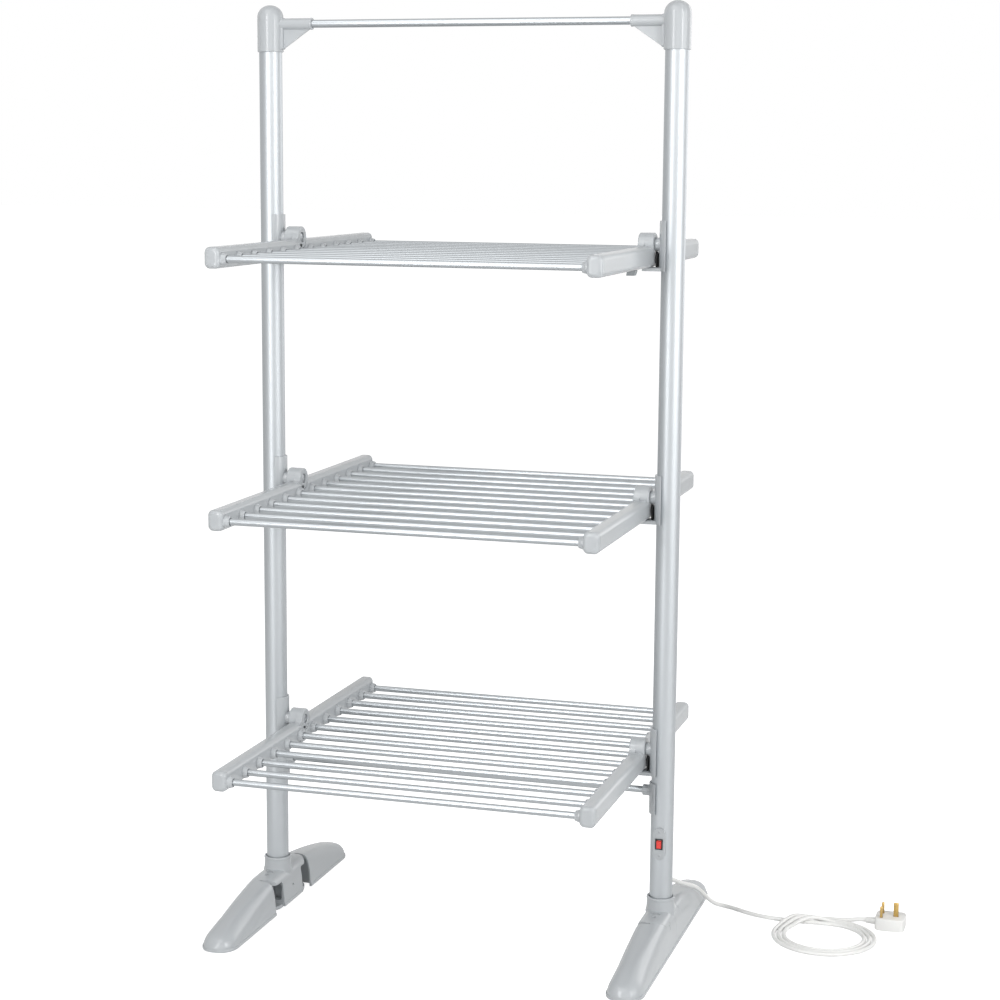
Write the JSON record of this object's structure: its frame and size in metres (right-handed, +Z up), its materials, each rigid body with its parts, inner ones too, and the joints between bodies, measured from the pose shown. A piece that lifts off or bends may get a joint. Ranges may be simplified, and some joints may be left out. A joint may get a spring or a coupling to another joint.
{
  "type": "heated clothes airer",
  "caption": "Free-standing heated clothes airer with winged tiers of tubes that fold up between two posts, folding feet, rocker switch and mains cord.",
  "frame": {"origin": "on the floor, midway between the two posts", "axes": "+Z up, +X from the left post to the right post with the switch, +Y from the front to the back"},
  "size_m": [1.058, 0.654, 1.479],
  "materials": {
    "anodised_post": "satin anodised",
    "moulding": "fine moulded grain",
    "coated_tube": "silver coated",
    "steel_pin": "zinc plated",
    "rubber_pad": "matte",
    "black_lead": "matte",
    "clip": "moulded",
    "black_moulding": "moulded",
    "red_lens": "clear moulded",
    "white_cord": "soft sheath",
    "plug_brass": "plain"
  },
  "bodies": {
    "stand": {"post_left": "anodised_post", "corner_cap_left": "moulding", "rod_saddle_left": "moulding", "foot_hub_left": "moulding", "tier_bracket_bottom_left": "moulding", "pivot_pin_bottom_left": "steel_pin", "tier_bracket_middle_left": "moulding", "pivot_pin_middle_left": "steel_pin", "tier_bracket_top_left": "moulding", "pivot_pin_top_left": "steel_pin", "foot_pin_front_left": "steel_pin", "foot_pin_rear_left": "steel_pin", "post_right": "anodised_post", "corner_cap_right": "moulding", "rod_saddle_right": "moulding", "foot_hub_right": "moulding", "tier_bracket_bottom_right": "moulding", "pivot_pin_bottom_right": "steel_pin", "tier_bracket_middle_right": "moulding", "pivot_pin_middle_right": "steel_pin", "tier_bracket_top_right": "moulding", "pivot_pin_top_right": "steel_pin", "foot_pin_front_right": "steel_pin", "foot_pin_rear_right": "steel_pin", "hanging_bar": "coated_tube", "cross_rod": "coated_tube", "tier_lead_bottom": "black_lead", "tier_lead_middle": "black_lead", "tier_lead_top": "black_lead", "switch_plate": "moulding", "switch_housing": "black_moulding", "cord_gland": "white_cord", "mains_cord": "white_cord", "cord_coil": "white_cord", "mains_plug": "white_cord", "plug_pin_live": "plug_brass", "plug_pin_neutral": "plug_brass", "plug_pin_earth": "plug_brass"},
    "wing_bottom_front": {"wing_bottom_front_left_rail": "moulding", "wing_bottom_front_right_rail": "moulding"},
    "wing_bottom_rear": {"wing_bottom_rear_left_rail": "moulding", "wing_bottom_rear_right_rail": "moulding"},
    "wing_middle_front": {"wing_middle_front_left_rail": "moulding", "wing_middle_front_right_rail": "moulding"},
    "wing_middle_rear": {"wing_middle_rear_left_rail": "moulding", "wing_middle_rear_right_rail": "moulding"},
    "wing_top_front": {"wing_top_front_left_rail": "moulding", "wing_top_front_right_rail": "moulding", "rail_clip": "clip"},
    "wing_top_rear": {"wing_top_rear_left_rail": "moulding", "wing_top_rear_right_rail": "moulding"},
    "foot_half_front_left": {"foot_front_left": "moulding", "foot_pad_front_left": "rubber_pad"},
    "foot_half_front_right": {"foot_front_right": "moulding", "foot_pad_front_right": "rubber_pad"},
    "foot_half_rear_left": {"foot_rear_left": "moulding", "foot_pad_rear_left": "rubber_pad"},
    "foot_half_rear_right": {"foot_rear_right": "moulding", "foot_pad_rear_right": "rubber_pad"},
    "rocker": {"switch_rocker": "red_lens"}
  },
  "joints": [
    {"name": "fold_bottom_front", "type": "hinge", "parent": "stand", "child": "wing_bottom_front", "pos_m": [0, 0, 0.3195], "axis": [-1, 0, 0], "range_deg": [0, 90]},
    {"name": "fold_bottom_rear", "type": "hinge", "parent": "stand", "child": "wing_bottom_rear", "pos_m": [0, 0, 0.3195], "axis": [1, 0, 0], "range_deg": [0, 90]},
    {"name": "fold_middle_front", "type": "hinge", "parent": "stand", "child": "wing_middle_front", "pos_m": [0, 0, 0.723], "axis": [-1, 0, 0], "range_deg": [0, 90]},
    {"name": "fold_middle_rear", "type": "hinge", "parent": "stand", "child": "wing_middle_rear", "pos_m": [0, 0, 0.723], "axis": [1, 0, 0], "range_deg": [0, 90]},
    {"name": "fold_top_front", "type": "hinge", "parent": "stand", "child": "wing_top_front", "pos_m": [0, 0, 1.1145], "axis": [-1, 0, 0], "range_deg": [0, 90]},
    {"name": "fold_top_rear", "type": "hinge", "parent": "stand", "child": "wing_top_rear", "pos_m": [0, 0, 1.1145], "axis": [1, 0, 0], "range_deg": [0, 90]},
    {"name": "swing_foot_front_left", "type": "hinge", "parent": "stand", "child": "foot_half_front_left", "pos_m": [-0.33, -0.047, 0], "axis": [0, 0, 1], "range_deg": [0, 90]},
    {"name": "swing_foot_rear_left", "type": "hinge", "parent": "stand", "child": "foot_half_rear_left", "pos_m": [-0.33, 0.047, 0], "axis": [0, 0, -1], "range_deg": [0, 90]},
    {"name": "swing_foot_front_right", "type": "hinge", "parent": "stand", "child": "foot_half_front_right", "pos_m": [0.33, -0.047, 0], "axis": [0, 0, -1], "range_deg": [0, 90]},
    {"name": "swing_foot_rear_right", "type": "hinge", "parent": "stand", "child": "foot_half_rear_right", "pos_m": [0.33, 0.047, 0], "axis": [0, 0, 1], "range_deg": [0, 90]},
    {"name": "rocker_tip", "type": "hinge", "parent": "stand", "child": "rocker", "pos_m": [0.33, -0.01675, 0.171], "axis": [-1, 0, 0], "range_deg": [0, 14]}
  ]
}
